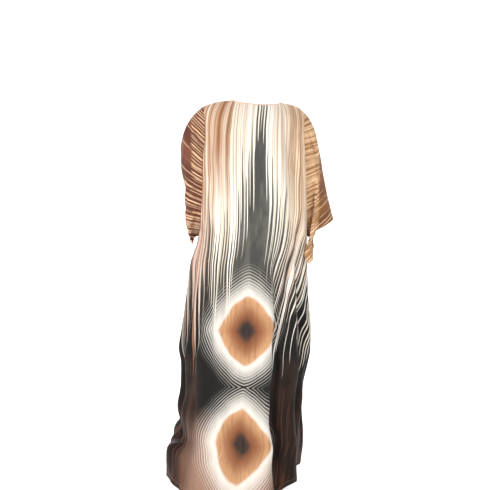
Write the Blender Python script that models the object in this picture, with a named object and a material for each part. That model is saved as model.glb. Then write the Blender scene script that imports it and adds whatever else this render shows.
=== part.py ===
"""Grand boubou robe in the form it takes when worn: a hollow, floor-length tube of cloth with
wide draped sleeves, open at the neck, the cuffs and the hem.

Metres, +Z up. The origin is the middle of the neck opening at shoulder height, where the wearer
holds the robe up. The wearer's back faces -Y, so the wearer's left arm is at -X.

Every panel is a grid of points on the middle of the cloth, worked out from the sizes, sections
and folds below. A grid becomes a wall by moving its points half the cloth's thickness each way.
"""

import math
from collections import namedtuple

import bpy
import numpy as np

# Driving sizes, in metres
HEM_Z = -1.330  # the hem, level all round
UNDERARM_Z = -0.485  # the lowest point of the armholes, where the side seams start
YOKE_Z = -0.130  # below this the body hangs; above it, it rounds up to the shoulders
CLOTH = 0.0020  # thickness of a cloth wall
BINDING_WALL = 0.0032  # the binding is cloth folded over the neck edge
BINDING_HEIGHT = 0.008
SEAM_GAP = 0.00035
BINDING_GAP = 0.0006
CORNER_PULL = 9  # times the gap, at the tight corners of the seams

# Panel columns run from the left side seam (-1) to the right one (+1)
PANEL_COLUMNS = 44
CHEST_ROWS = 17  # rows from the shoulder line to the underarm
SKIRT_ROWS = 15  # rows from the underarm to the flare at the hem
HEM_ROWS = 4  # rows in the flare
FLARE_Z = -1.270  # where the flare starts
SLEEVE_ROWS = 12
NECK_LEFT = -0.545  # the columns between which the shoulder line opens for the neck
NECK_RIGHT = 0.545

Section = namedtuple("Section", "z left right back front square")
BODY_SECTIONS = [
    Section(z=-0.020, left=-0.182, right=0.164, back=-0.070, front=0.080, square=2.2),
    Section(z=-0.130, left=-0.192, right=0.176, back=-0.118, front=0.108, square=2.2),
    Section(z=-0.220, left=-0.200, right=0.182, back=-0.130, front=0.123, square=2.2),
    Section(z=-0.320, left=-0.200, right=0.184, back=-0.130, front=0.122, square=2.2),
    Section(z=-0.430, left=-0.202, right=0.183, back=-0.126, front=0.115, square=2.3),
    Section(z=-0.510, left=-0.213, right=0.180, back=-0.132, front=0.115, square=2.3),
    Section(z=-0.575, left=-0.234, right=0.183, back=-0.140, front=0.119, square=2.3),
    Section(z=-0.705, left=-0.250, right=0.187, back=-0.166, front=0.132, square=2.4),
    Section(z=-0.820, left=-0.268, right=0.196, back=-0.182, front=0.144, square=2.4),
    Section(z=-0.895, left=-0.276, right=0.195, back=-0.192, front=0.150, square=2.5),
    Section(z=-0.945, left=-0.269, right=0.186, back=-0.200, front=0.156, square=2.5),
    Section(z=-1.033, left=-0.268, right=0.168, back=-0.216, front=0.166, square=2.6),
    Section(z=-1.112, left=-0.279, right=0.166, back=-0.234, front=0.176, square=2.7),
    Section(z=-1.191, left=-0.268, right=0.168, back=-0.256, front=0.188, square=2.8),
    Section(z=-1.250, left=-0.298, right=0.165, back=-0.288, front=0.198, square=3.0),
    Section(z=-1.295, left=-0.300, right=0.158, back=-0.318, front=0.208, square=3.3),
    Section(z=-1.312, left=-0.300, right=0.155, back=-0.332, front=0.214, square=3.5),
    Section(z=-1.330, left=-0.302, right=0.152, back=-0.346, front=0.220, square=3.6),
]

# The shoulder line, from the left armhole over the neck to the right armhole. dip is how far
# the neckline stands behind the line at the back, and in front of it at the front.
Shoulder = namedtuple("Shoulder", "column x z dip_back dip_front drop_front")
SHOULDER_LINE = [
    Shoulder(column=-1.000, x=-0.186, z=-0.024, dip_back=0.000, dip_front=0.000, drop_front=0.000),
    Shoulder(column=-0.800, x=-0.146, z=-0.010, dip_back=0.000, dip_front=0.000, drop_front=0.000),
    Shoulder(column=-0.545, x=-0.090, z=-0.003, dip_back=0.000, dip_front=0.000, drop_front=0.000),
    Shoulder(column=-0.455, x=-0.080, z=-0.007, dip_back=0.022, dip_front=0.030, drop_front=0.020),
    Shoulder(column=-0.364, x=-0.064, z=-0.010, dip_back=0.038, dip_front=0.056, drop_front=0.042),
    Shoulder(column=-0.182, x=-0.032, z=-0.014, dip_back=0.053, dip_front=0.082, drop_front=0.066),
    Shoulder(column=0.000, x=0.001, z=-0.017, dip_back=0.057, dip_front=0.088, drop_front=0.070),
    Shoulder(column=0.182, x=0.034, z=-0.018, dip_back=0.053, dip_front=0.082, drop_front=0.066),
    Shoulder(column=0.364, x=0.066, z=-0.018, dip_back=0.038, dip_front=0.056, drop_front=0.042),
    Shoulder(column=0.455, x=0.082, z=-0.016, dip_back=0.022, dip_front=0.030, drop_front=0.020),
    Shoulder(column=0.545, x=0.092, z=-0.013, dip_back=0.000, dip_front=0.000, drop_front=0.000),
    Shoulder(column=0.800, x=0.138, z=-0.024, dip_back=0.000, dip_front=0.000, drop_front=0.000),
    Shoulder(column=1.000, x=0.168, z=-0.046, dip_back=0.000, dip_front=0.000, drop_front=0.000),
]

# Half the width of the armhole, front to back, at each share of its height from the underarm
Armhole = namedtuple("Armhole", "share half_width")
ARMHOLE = [
    Armhole(share=0.00, half_width=0.000),
    Armhole(share=0.08, half_width=0.022),
    Armhole(share=0.30, half_width=0.040),
    Armhole(share=0.65, half_width=0.050),
    Armhole(share=0.85, half_width=0.046),
    Armhole(share=1.00, half_width=0.000),
]

# A fold runs from column `low` at the hem to column `high` at its top. depth is outwards, so a
# trough is negative. skew above 1 puts the steep side on the right of the fold.
Fold = namedtuple("Fold", "low high top_z depth top_depth width skew")
BACK_FOLDS = [
    Fold(low=0.34, high=0.34, top_z=-0.50, depth=-0.046, top_depth=-0.010, width=0.13, skew=0.40),
    Fold(low=0.22, high=0.22, top_z=-0.55, depth=0.014, top_depth=0.004, width=0.10, skew=1.6),
    Fold(low=-0.20, high=-0.46, top_z=-0.50, depth=-0.010, top_depth=-0.016, width=0.12, skew=1.4),
    Fold(low=0.72, high=0.66, top_z=-0.30, depth=-0.026, top_depth=-0.006, width=0.12, skew=0.8),
    Fold(low=0.88, high=0.84, top_z=-0.10, depth=0.014, top_depth=-0.003, width=0.08, skew=1.0),
    Fold(low=-0.90, high=-0.82, top_z=-0.20, depth=0.014, top_depth=0.004, width=0.08, skew=1.0),
    Fold(low=-0.76, high=-0.66, top_z=-0.10, depth=-0.018, top_depth=0.005, width=0.09, skew=1.0),
    Fold(low=-0.70, high=-0.72, top_z=-1.215, depth=0.030, top_depth=0.048, width=0.20, skew=1.0),
    Fold(low=0.56, high=0.58, top_z=-1.16, depth=0.020, top_depth=0.001, width=0.11, skew=1.0),
    Fold(low=-0.50, high=-0.44, top_z=-0.62, depth=0.012, top_depth=0.001, width=0.12, skew=1.0),
    Fold(low=0.02, high=-0.04, top_z=-0.66, depth=-0.010, top_depth=-0.001, width=0.13, skew=1.0),
    Fold(low=0.46, high=0.66, top_z=-0.06, depth=0.004, top_depth=-0.007, width=0.09, skew=1.0),
    Fold(low=-0.30, high=-0.30, top_z=-0.06, depth=-0.002, top_depth=-0.004, width=0.10, skew=1.0),
]
FRONT_FOLDS = [
    Fold(low=-0.86, high=-0.76, top_z=-0.20, depth=0.020, top_depth=0.003, width=0.11, skew=1.0),
    Fold(low=-0.60, high=-0.50, top_z=-0.30, depth=-0.022, top_depth=-0.003, width=0.13, skew=0.8),
    Fold(low=-0.28, high=-0.25, top_z=-0.24, depth=0.022, top_depth=0.003, width=0.15, skew=1.0),
    Fold(low=0.03, high=0.00, top_z=-0.34, depth=-0.022, top_depth=-0.003, width=0.13, skew=1.2),
    Fold(low=0.32, high=0.27, top_z=-0.28, depth=0.020, top_depth=0.003, width=0.14, skew=1.0),
    Fold(low=0.60, high=0.53, top_z=-0.30, depth=-0.020, top_depth=-0.003, width=0.12, skew=0.8),
    Fold(low=0.89, high=0.90, top_z=-0.52, depth=-0.016, top_depth=-0.008, width=0.10, skew=1.0),
]

# A sleeve section is a loop from its hanging edge (low) up the back of the sleeve to its top
# fold (top) and down the front. heading turns the loop: at 0 its back faces -Y, and at 90 it
# faces outwards. back and front are how far those sides stand off the line from low to top,
# narrow is the share of that width near the hanging edge, tuck draws the back half in, sag
# lets the middle of the loop hang below that line, and hook draws all of the middle in.
SleeveSection = namedtuple(
    "SleeveSection", "top_x top_y top_z low_x low_y low_z back front heading narrow tuck sag hook"
)
LEFT_SLEEVE = [
    SleeveSection(-0.222, 0.006, -0.056, -0.224, -0.002, -0.492, 0.056, 0.054, 4, 0.45, 0.000, 0.00, 0.000),
    SleeveSection(-0.252, 0.024, -0.104, -0.228, -0.010, -0.500, 0.050, 0.048, 14, 0.36, 0.000, 0.01, 0.000),
    SleeveSection(-0.258, 0.072, -0.160, -0.230, -0.022, -0.501, 0.044, 0.048, 34, 0.26, 0.000, 0.02, 0.000),
    SleeveSection(-0.248, 0.140, -0.206, -0.231, -0.034, -0.504, 0.040, 0.050, 50, 0.20, 0.000, 0.03, 0.000),
    SleeveSection(-0.232, 0.212, -0.240, -0.228, -0.046, -0.507, 0.038, 0.052, 60, 0.16, 0.000, 0.04, 0.000),
]
RIGHT_SLEEVE = [
    SleeveSection(0.203, 0.004, -0.100, 0.200, -0.006, -0.500, 0.054, 0.056, 4, 0.52, 0.000, 0.00, 0.000),
    SleeveSection(0.222, 0.012, -0.180, 0.201, -0.022, -0.524, 0.058, 0.062, 5, 0.55, 0.010, 0.00, 0.000),
    SleeveSection(0.238, 0.024, -0.260, 0.203, -0.036, -0.543, 0.058, 0.070, 6, 0.52, 0.026, 0.00, 0.000),
    SleeveSection(0.256, 0.038, -0.342, 0.202, -0.056, -0.558, 0.052, 0.078, 6, 0.46, 0.023, 0.00, 0.008),
    SleeveSection(0.281, 0.052, -0.432, 0.184, -0.078, -0.572, 0.048, 0.086, 6, 0.40, 0.022, -0.016, 0.026),
]

# Folds of the sleeves: position runs round the loop, 0 low, 1 at the top by way of the back,
# 2 low again by way of the front. They deepen along the sleeve from start to end.
SleeveFold = namedtuple("SleeveFold", "position start end depth end_depth width")
LEFT_SLEEVE_FOLDS = [
    SleeveFold(position=0.58, start=0.05, end=1.00, depth=-0.009, end_depth=-0.020, width=0.13),
    SleeveFold(position=0.36, start=0.20, end=1.00, depth=0.002, end_depth=0.008, width=0.10),
    SleeveFold(position=1.55, start=0.20, end=1.00, depth=-0.003, end_depth=-0.010, width=0.14),
]
RIGHT_SLEEVE_FOLDS = [
    SleeveFold(position=0.58, start=0.10, end=1.00, depth=-0.004, end_depth=-0.010, width=0.12),
    SleeveFold(position=0.30, start=0.20, end=1.00, depth=0.003, end_depth=0.009, width=0.12),
    SleeveFold(position=1.50, start=0.20, end=1.00, depth=-0.004, end_depth=-0.014, width=0.16),
]


def column_of(table, name):
    """One named column of a table, as an array."""
    return np.array([getattr(row, name) for row in table], dtype=float)


def smooth(at, known, values):
    """A smooth curve through values at known, read at the place `at`. It never overshoots."""
    if known[0] > known[-1]:
        known = known[::-1]
        values = values[::-1]
    at = min(max(at, known[0]), known[-1])
    i = int(np.clip(np.searchsorted(known, at) - 1, 0, len(known) - 2))
    steps = np.diff(known)
    slopes = np.diff(values) / steps
    tangent = [0.0, 0.0]
    for end in (0, 1):
        k = i + end
        if k == 0:
            tangent[end] = slopes[0]
        elif k == len(known) - 1:
            tangent[end] = slopes[-1]
        elif slopes[k - 1] * slopes[k] > 0:
            tangent[end] = 2 * slopes[k - 1] * slopes[k] / (slopes[k - 1] + slopes[k])
    step = steps[i]
    s = (at - known[i]) / step
    return (
        values[i] * (1 + 2 * s) * (1 - s) ** 2
        + tangent[0] * step * s * (1 - s) ** 2
        + values[i + 1] * s * s * (3 - 2 * s)
        + tangent[1] * step * s * s * (s - 1)
    )


def ease(s):
    """0 to 1 with a flat start and end."""
    s = min(max(s, 0.0), 1.0)
    return s * s * (3 - 2 * s)


def unit(vector):
    return vector / max(np.linalg.norm(vector), 1e-12)


def body_section(z):
    known = column_of(BODY_SECTIONS, "z")
    values = [smooth(z, known, column_of(BODY_SECTIONS, name)) for name in Section._fields[1:]]
    return Section(z, *values)


def armhole_half_width(z, side):
    tip = SHOULDER_LINE[0].z if side < 0 else SHOULDER_LINE[-1].z
    share = (z - UNDERARM_Z) / (tip - UNDERARM_Z)
    if share <= 0:
        return 0.0
    return smooth(share, column_of(ARMHOLE, "share"), column_of(ARMHOLE, "half_width"))


def ring_point(z, u, facing):
    """The body's ring at height z. facing is -1 on the back panel and +1 on the front one."""
    ring = body_section(z)
    mid_x = (ring.left + ring.right) / 2
    half_x = (ring.right - ring.left) / 2
    mid_y = (ring.back + ring.front) / 2 * 0.25
    half_y = abs((ring.back if facing < 0 else ring.front) - mid_y)
    power = 2 / ring.square
    cuts = []
    for side in (-1, 1):
        share = min(armhole_half_width(z, side) / half_y, 0.95)
        cuts.append(math.asin(share ** (1 / power)))
    start = math.pi - cuts[0]
    end = cuts[1]
    angle = start + (end - start) * (u + 1) / 2
    c = math.cos(angle)
    s = max(math.sin(angle), 0.0)
    x = mid_x + half_x * math.copysign(abs(c) ** power, c)
    y = mid_y + facing * half_y * s ** power
    return np.array([x, y, z])


def even_ring(z, us, facing):
    """Ring points at panel columns us, evenly spaced along the ring."""
    fine = np.linspace(-1, 1, 241)
    points = np.array([ring_point(z, u, facing) for u in fine])
    runs = np.concatenate([[0], np.cumsum(np.linalg.norm(np.diff(points, axis=0), axis=1))])
    share = runs / runs[-1] * 2 - 1
    return np.array([[np.interp(u, share, points[:, k]) for k in range(3)] for u in us])


def shoulder_point(u, facing):
    columns = column_of(SHOULDER_LINE, "column")
    x = smooth(u, columns, column_of(SHOULDER_LINE, "x"))
    z = smooth(u, columns, column_of(SHOULDER_LINE, "z"))
    if facing < 0:
        y = -smooth(u, columns, column_of(SHOULDER_LINE, "dip_back"))
    else:
        y = smooth(u, columns, column_of(SHOULDER_LINE, "dip_front"))
        z -= smooth(u, columns, column_of(SHOULDER_LINE, "drop_front"))
    return np.array([x, y, z])


def chest_point(top, ring_row, u_index, share, facing, chest_z):
    """A point between the shoulder line (share 0) and the ring at chest_z (share 1)."""
    low = ring_row[u_index]
    drop = top[2] - low[2]
    reach = abs(low[1] - top[1])
    start = np.array([(low[0] - top[0]) * 0.4, facing * reach * 1.5, -drop * 0.35])
    end = np.array([0.0, facing * reach * 0.10, -drop * 1.35])
    s = share
    return (
        top * (1 + 2 * s) * (1 - s) ** 2
        + start * s * (1 - s) ** 2
        + low * s * s * (3 - 2 * s)
        + end * s * s * (s - 1)
    )


def add_folds(grid, us, zs, folds, facing):
    """Move the points of a panel along its normals to make the folds."""
    normals = grid_normals(grid, wrap=False)
    if np.mean(normals[:, :, 1]) * facing < 0:
        normals = -normals
    moved = grid.copy()
    for r, z in enumerate(zs):
        for fold in folds:
            if z > fold.top_z:
                continue
            run = (fold.top_z - z) / (fold.top_z - HEM_Z)
            centre = fold.high + (fold.low - fold.high) * run
            grow = ease(run / 0.25)
            depth = grow * (fold.top_depth + (fold.depth - fold.top_depth) * run)
            for c, u in enumerate(us):
                gap = (u - centre) / fold.width
                gap = gap * fold.skew if gap > 0 else gap / fold.skew
                side = ease((1 - abs(u)) / 0.10)
                moved[r, c] += normals[r, c] * depth * math.exp(-gap * gap * 2) * side
    return moved


def panel_grid(facing, folds):
    """Rows from the shoulder line to the hem, columns from side seam to side seam."""
    us = np.linspace(-1, 1, PANEL_COLUMNS + 1)
    rows = []
    zs = []
    yoke_rows = 6
    yoke_ring = even_ring(YOKE_Z, us, facing)
    for r in range(yoke_rows):
        share = r / yoke_rows
        row = []
        for c, u in enumerate(us):
            top = shoulder_point(u, facing)
            row.append(chest_point(top, yoke_ring, c, share, facing, YOKE_Z))
        rows.append(row)
        zs.append(np.mean([point[2] for point in row]))
    levels = list(np.linspace(YOKE_Z, UNDERARM_Z, CHEST_ROWS - yoke_rows + 1))
    levels += list(np.linspace(UNDERARM_Z, FLARE_Z, SKIRT_ROWS + 1))[1:]
    levels += list(np.linspace(FLARE_Z, HEM_Z, HEM_ROWS + 1))[1:]
    for z in levels:
        rows.append(even_ring(z, us, facing))
        zs.append(z)
    grid = np.array(rows, dtype=float)
    return add_folds(grid, us, zs, folds, facing)


def grid_normals(grid, wrap):
    """Area-weighted normals of a grid of points, not yet shared with its neighbours."""
    sums = np.zeros_like(grid)
    rows, columns = grid.shape[:2]
    for r in range(rows - 1):
        for c in range(columns if wrap else columns - 1):
            d = (c + 1) % columns
            corners = ((r, c), (r, d), (r + 1, d), (r + 1, c))
            a, b, e, f = (grid[corner] for corner in corners)
            area = np.cross(e - a, f - b)
            for corner in corners:
                sums[corner] += area
    lengths = np.linalg.norm(sums, axis=2, keepdims=True)
    return sums / np.maximum(lengths, 1e-12)


def sleeve_loop(section, side, count):
    """A sleeve section as count points, from low up the back to the top and down the front."""
    top = np.array([section.top_x, section.top_y, section.top_z])
    low = np.array([section.low_x, section.low_y, section.low_z])
    turn = math.radians(section.heading)
    back_way = np.array([side * math.sin(turn), -math.cos(turn), 0.0])
    loop = []
    for k in range(count):
        angle = 2 * math.pi * k / count
        along = (1 - math.cos(angle)) / 2
        across = math.sin(angle)
        weight = section.narrow + (1 - section.narrow) * ease(along * 1.25)
        width = section.back if across > 0 else section.front
        point = low + (top - low) * along + back_way * width * across * weight
        point[2] -= section.sag * math.sin(math.pi * along)
        point[0] -= side * section.hook * math.sin(math.pi * along)
        if across > 0:
            point[0] -= side * section.tuck * math.sin(math.pi * along ** 0.7)
        loop.append(point)
    return np.array(loop)


def sleeve_grid(armhole, sections, folds, side):
    """Rows from the armhole to the cuff. The columns run round the sleeve."""
    count = len(armhole)
    loops = [armhole] + [sleeve_loop(section, side, count) for section in sections]
    mids = np.array([loop.mean(axis=0) for loop in loops])
    runs = np.concatenate([[0], np.cumsum(np.linalg.norm(np.diff(mids, axis=0), axis=1))])
    known = runs / runs[-1]
    stack = np.array(loops)
    rows = []
    for r in range(SLEEVE_ROWS + 1):
        share = r / SLEEVE_ROWS
        row = [
            [smooth(share, known, stack[:, c, k]) for k in range(3)]
            for c in range(count)
        ]
        rows.append(row)
    grid = np.array(rows)
    normals = grid_normals(grid, wrap=True)
    outward = grid - grid.mean(axis=1, keepdims=True)
    if np.sum(normals * outward) < 0:
        normals = -normals
    for r in range(SLEEVE_ROWS + 1):
        share = r / SLEEVE_ROWS
        for c in range(count):
            position = 2 * c / count
            for fold in folds:
                run = (share - fold.start) / (fold.end - fold.start)
                if run <= 0:
                    continue
                depth = ease(run / 0.3) * (fold.depth + (fold.end_depth - fold.depth) * run)
                gap = (position - fold.position) / fold.width
                grid[r, c] += normals[r, c] * depth * math.exp(-gap * gap * 2)
    return grid


def armhole_loop(back, front, side):
    """The edge of the armhole: from the underarm up the back panel, down the front panel."""
    c = 0 if side < 0 else -1
    up = [back[r, c] for r in range(CHEST_ROWS, 0, -1)]
    over = [back[0, c]]
    down = [front[r, c] for r in range(1, CHEST_ROWS)]
    return np.array(up + over + down)


def share_normals(pieces):
    """Make one normal for each place, so that neighbours meet in a mitre at the seams."""
    places = {}
    for grid, normals, wrap in pieces:
        for index in np.ndindex(grid.shape[:2]):
            key = tuple(np.round(grid[index] * 20000).astype(int))
            places.setdefault(key, []).append(normals[index])
    for grid, normals, wrap in pieces:
        for index in np.ndindex(grid.shape[:2]):
            key = tuple(np.round(grid[index] * 20000).astype(int))
            normals[index] = unit(np.sum(places[key], axis=0))


def draw_edge(edge, inside, pulls, wrap):
    """The points of an edge, each moved square to the edge towards the points inside it."""
    moved = edge.copy()
    last = len(edge) - 1
    for k in range(len(edge)):
        ahead = edge[(k + 1) % len(edge)] if wrap else edge[min(k + 1, last)]
        behind = edge[k - 1] if wrap or k > 0 else edge[0]
        along = unit(ahead - behind)
        inwards = inside[k] - edge[k]
        inwards = inwards - along * np.dot(inwards, along)
        moved[k] += unit(inwards) * pulls[k]
    return moved - edge


def draw_back(grid, wrap, edges, corners=()):
    """Draw the seam edges of a grid back by half the seam gap, into the panel."""
    moved = grid.copy()
    rows, columns = grid.shape[:2]
    half = SEAM_GAP / 2
    if "first_row" in edges:
        pulls = [half * CORNER_PULL if c in corners else half for c in range(columns)]
        moved[0] += draw_edge(grid[0], grid[1], pulls, wrap)
    if "first_column" in edges:
        moved[:, 0] += draw_edge(grid[:, 0], grid[:, 1], [half] * rows, False)
    if "last_column" in edges:
        moved[:, -1] += draw_edge(grid[:, -1], grid[:, -2], [half] * rows, False)
    return moved


def rim(middle, a, b, inner):
    """Two triangles across the edge from a to b, split alike on both sides of a seam."""
    if tuple(middle[a]) < tuple(middle[b]):
        return [(a, b, inner + b), (a, inner + b, inner + a)]
    return [(a, b, inner + a), (b, inner + b, inner + a)]


def wall(name, seams, grid, normals, wrap, thickness, outward, collection, material):
    """Turn a grid into a closed wall and make an object of it. seams is the grid before its
    edges were drawn back, which is the same on both sides of a seam."""
    rows, columns = grid.shape[:2]
    half = normals * thickness / 2
    points = np.concatenate([(grid + half).reshape(-1, 3), (grid - half).reshape(-1, 3)])
    inner = rows * columns
    faces = []

    def at(r, c):
        return r * columns + c % columns

    spans = columns if wrap else columns - 1
    for r in range(rows - 1):
        for c in range(spans):
            quad = (at(r, c), at(r, c + 1), at(r + 1, c + 1), at(r + 1, c))
            faces.append(quad)
            faces.append(tuple(inner + k for k in reversed(quad)))
    middle = seams.reshape(-1, 3)
    for c in range(spans):
        faces += rim(middle, at(0, c + 1), at(0, c), inner)
        faces += rim(middle, at(rows - 1, c), at(rows - 1, c + 1), inner)
    if not wrap:
        for r in range(rows - 1):
            faces += rim(middle, at(r, 0), at(r + 1, 0), inner)
            faces += rim(middle, at(r + 1, columns - 1), at(r, columns - 1), inner)
    if not outward:
        faces = [tuple(reversed(face)) for face in faces]
    mesh = bpy.data.meshes.new(name)
    mesh.from_pydata([tuple(point) for point in points], [], faces)
    mesh.validate()
    mesh.update()
    for polygon in mesh.polygons:
        polygon.use_smooth = True
    mesh.materials.append(material)
    item = bpy.data.objects.new(name, mesh)
    collection.objects.link(item)
    return item


def cloth_material(name, colour, roughness):
    material = bpy.data.materials.new(name)
    material.use_nodes = True
    shader = material.node_tree.nodes["Principled BSDF"]
    shader.inputs["Base Color"].default_value = (*colour, 1.0)
    shader.inputs["Roughness"].default_value = roughness
    shader.inputs["Metallic"].default_value = 0.0
    return material


def neck_piece(back, front, back_normals, front_normals, inside):
    """The binding: a short ring of cloth that carries on from the neck edge, all round."""
    steps = [(back, back_normals, c) for c in inside]
    steps += [(front, front_normals, c) for c in reversed(inside[1:-1])]
    edge = np.array([panel[0, c] for panel, normals, c in steps])
    rows = []
    for r in range(3):
        row = []
        for k, (panel, normals, c) in enumerate(steps):
            along = unit(edge[(k + 1) % len(edge)] - edge[k - 1])
            away = unit(np.cross(normals[0, c], along))
            if np.dot(away, edge.mean(axis=0) - edge[k]) < 0:
                away = -away
            row.append(edge[k] + away * (BINDING_GAP + BINDING_HEIGHT * r / 2))
        rows.append(row)
    normals = [normals[0, c] for panel, normals, c in steps]
    return np.array(rows), np.array([normals] * 3)


def main():
    for old in list(bpy.data.objects):
        bpy.data.objects.remove(old, do_unlink=True)
    collection = bpy.data.collections.new("Grand boubou robe")
    bpy.context.scene.collection.children.link(collection)

    back = panel_grid(-1, BACK_FOLDS)
    front = panel_grid(1, FRONT_FOLDS)
    for c in (0, -1):
        front[0, c] = back[0, c]
        front[CHEST_ROWS:, c] = back[CHEST_ROWS:, c]
    left_hole = armhole_loop(back, front, -1)
    right_hole = armhole_loop(back, front, 1)
    left = sleeve_grid(left_hole, LEFT_SLEEVE, LEFT_SLEEVE_FOLDS, -1)
    right = sleeve_grid(right_hole, RIGHT_SLEEVE, RIGHT_SLEEVE_FOLDS, 1)
    us = np.linspace(-1, 1, PANEL_COLUMNS + 1)
    neck_columns = [c for c, u in enumerate(us) if NECK_LEFT - 0.001 < u < NECK_RIGHT + 0.001]
    neck_corners = {0, 1, 2, neck_columns[0], neck_columns[-1]}
    neck_corners |= {PANEL_COLUMNS - c for c in (0, 1, 2)}
    underarm = set(range(4)) | {2 * CHEST_ROWS - k for k in range(1, 5)}

    silk = cloth_material("printed cloth", (0.32, 0.22, 0.17), 0.55)
    sleeve_cloth = cloth_material("sleeve cloth", (0.26, 0.12, 0.08), 0.55)
    edge_cloth = cloth_material("binding cloth", (0.78, 0.66, 0.55), 0.60)

    pieces = []
    for grid, wrap, facing in ((back, False, -1), (front, False, 1)):
        normals = grid_normals(grid, wrap)
        if np.mean(normals[:, :, 1]) * facing < 0:
            normals = -normals
        pieces.append((grid, normals, wrap))
    for grid in (left, right):
        normals = grid_normals(grid, True)
        outward = grid - grid.mean(axis=1, keepdims=True)
        if np.sum(normals * outward) < 0:
            normals = -normals
        pieces.append((grid, normals, True))
    share_normals(pieces)
    neck, neck_normals = neck_piece(back, front, pieces[0][1], pieces[1][1], neck_columns)
    pieces.append((neck, neck_normals, True))

    names = ("back", "front", "sleeve_left", "sleeve_right", "neck_binding")
    cloths = (silk, silk, sleeve_cloth, sleeve_cloth, edge_cloth)
    sides = ("first_row", "first_column", "last_column")
    for name, cloth, (grid, normals, wrap) in zip(names, cloths, pieces):
        thickness = CLOTH
        seams = grid
        if name in ("back", "front"):
            grid = draw_back(grid, wrap, sides, neck_corners)
        elif name == "neck_binding":
            thickness = BINDING_WALL
        else:
            grid = draw_back(grid, wrap, ("first_row",), underarm)
        face = np.cross(grid[2, 2] - grid[1, 1], grid[2, 1] - grid[1, 2])
        outward = float(np.dot(face, normals[1, 1])) > 0
        wall(name, seams, grid, normals, wrap, thickness, outward, collection, cloth)


main()
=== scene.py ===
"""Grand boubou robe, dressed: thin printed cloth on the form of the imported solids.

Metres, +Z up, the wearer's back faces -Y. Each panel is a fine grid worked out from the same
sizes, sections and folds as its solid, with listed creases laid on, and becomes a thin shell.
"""

import math
from collections import namedtuple

import bpy
import numpy as np
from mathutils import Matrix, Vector, noise


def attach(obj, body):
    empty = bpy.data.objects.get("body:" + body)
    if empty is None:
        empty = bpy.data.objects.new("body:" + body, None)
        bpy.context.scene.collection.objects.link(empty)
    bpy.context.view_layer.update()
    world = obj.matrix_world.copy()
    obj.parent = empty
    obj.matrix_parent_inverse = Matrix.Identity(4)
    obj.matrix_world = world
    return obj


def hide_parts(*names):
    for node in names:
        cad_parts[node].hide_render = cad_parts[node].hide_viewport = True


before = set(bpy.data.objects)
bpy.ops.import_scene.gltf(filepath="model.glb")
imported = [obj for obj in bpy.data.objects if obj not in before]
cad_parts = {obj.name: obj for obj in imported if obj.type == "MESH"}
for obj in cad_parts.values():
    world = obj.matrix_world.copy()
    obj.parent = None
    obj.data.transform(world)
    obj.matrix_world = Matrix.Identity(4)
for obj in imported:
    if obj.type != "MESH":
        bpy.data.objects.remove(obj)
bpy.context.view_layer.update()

# ---- sizes shared with the solids
HEM_Z = -1.330
UNDERARM_Z = -0.485
YOKE_Z = -0.130
FLARE_Z = -1.270
NECK_U = 0.545  # the neck opening ends at these columns, left and right

# Sizes of the scene's own cloth
CLOTH = 0.0007  # thickness of the shell
HEM_DEPTH = 0.016  # turned hem at the bottom and the cuffs
HEM_STAND = 0.0005  # how far the turned hem stands proud
HEM_STEP = 0.0015  # height over which it steps back to the cloth
HEM_WAVE = 0.0025  # rise and fall of the bottom edge
SEAM_SINK = 0.0009  # how far the cloth dips at a seam
PLEAT_LAP = 0.052  # width of cloth hidden under the pleat
PLEAT_U = 0.276  # column of the pleat's lip
PLEAT_TOP = -0.46
PLEAT_RUN = 0.44  # height over which the lap grows to its full width
PLEAT_LIP = 0.018  # width of its lip, in columns u
BINDING_PITCH = 0.003  # on the print, between two points of the binding's profile
NO_HEM = 0.05  # a distance from the edge where no turned hem shows

# Rows and columns of the fine grids. Columns u run from -1 at the left to 1 at the right.
COLUMNS = 176
YOKE_ROWS = 34
CHEST_ROWS = 62
SKIRT_ROWS = 128
HEM_ROWS = 14
SLEEVE_ROWS = 88
UNDERARM_ROW = YOKE_ROWS + CHEST_ROWS

Ripple = namedtuple("Ripple", "size stretch depth")
PANEL_RIPPLE = Ripple(size=0.045, stretch=3.2, depth=0.0026)
SLEEVE_RIPPLE = Ripple(size=0.040, stretch=2.0, depth=0.0022)


def listed(kind, *rows):
    """A table: each row of numbers under its names."""
    return [kind(*row) for row in rows]


# Rings of the body: how far it reaches to each side, and how square its corners are
Section = namedtuple("Section", "z left right back front square")
BODY_SECTIONS = listed(
    Section,
    #      z    left  right    back  front square
    (-0.020, -0.182, 0.164, -0.070, 0.080, 2.2),
    (-0.130, -0.192, 0.176, -0.118, 0.108, 2.2),
    (-0.220, -0.200, 0.182, -0.130, 0.123, 2.2),
    (-0.320, -0.200, 0.184, -0.130, 0.122, 2.2),
    (-0.430, -0.202, 0.183, -0.126, 0.115, 2.3),
    (-0.510, -0.213, 0.180, -0.132, 0.115, 2.3),
    (-0.575, -0.234, 0.183, -0.140, 0.119, 2.3),
    (-0.705, -0.250, 0.187, -0.166, 0.132, 2.4),
    (-0.820, -0.268, 0.196, -0.182, 0.144, 2.4),
    (-0.895, -0.276, 0.195, -0.192, 0.150, 2.5),
    (-0.945, -0.269, 0.186, -0.200, 0.156, 2.5),
    (-1.033, -0.268, 0.168, -0.216, 0.166, 2.6),
    (-1.112, -0.279, 0.166, -0.234, 0.176, 2.7),
    (-1.191, -0.268, 0.168, -0.256, 0.188, 2.8),
    (-1.250, -0.298, 0.165, -0.288, 0.198, 3.0),
    (-1.295, -0.300, 0.158, -0.318, 0.208, 3.3),
    (-1.312, -0.300, 0.155, -0.332, 0.214, 3.5),
    (-1.330, -0.302, 0.152, -0.346, 0.220, 3.6),
)

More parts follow.
